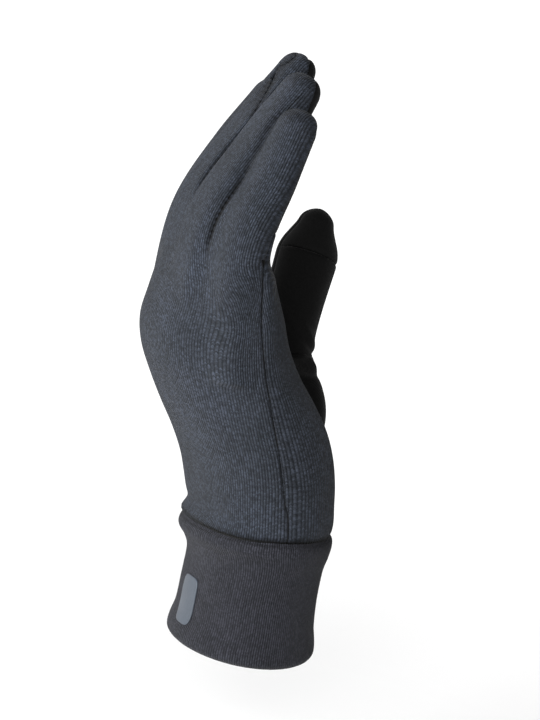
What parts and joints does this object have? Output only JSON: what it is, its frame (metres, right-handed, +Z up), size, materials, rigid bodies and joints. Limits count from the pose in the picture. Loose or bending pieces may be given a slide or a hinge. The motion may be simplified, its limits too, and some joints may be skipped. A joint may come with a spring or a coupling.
{
  "type": "cycling glove",
  "caption": "Full-finger knit cycling glove for the right hand, shown worn: stretch back, smooth palm and thumb with a touch tip, sewn fourchettes and a turned-up double cuff",
  "frame": {"origin": "middle of the cuff's mouth, at the height of its hem, where the hand goes in", "axes": "+Z up the forearm's line towards the fingers, +X to the palm's side, +Y to the thumb's side"},
  "size_m": [0.0904, 0.0931, 0.2206],
  "materials": {
    "grey_knit": "heathered slate-grey stretch knit with fine ribs lengthwise",
    "black_jersey": "smooth black jersey, slightly lustrous",
    "touch_jersey": "smooth black conductive jersey",
    "cuff_knit": "double layer of the grey stretch knit, turned up",
    "reflective_print": "thin pale reflective transfer print"
  },
  "bodies": {
    "root": {"back_panel": "grey_knit", "side_panel": "grey_knit", "fourchette_index_middle": "grey_knit", "fourchette_middle_ring": "grey_knit", "fourchette_ring_little": "grey_knit", "palm_panel": "black_jersey", "thumb_back": "black_jersey", "thumb_front": "black_jersey", "thumb_touch_tip": "touch_jersey", "cuff": "cuff_knit", "cuff_print": "reflective_print"}
  },
  "joints": []
}
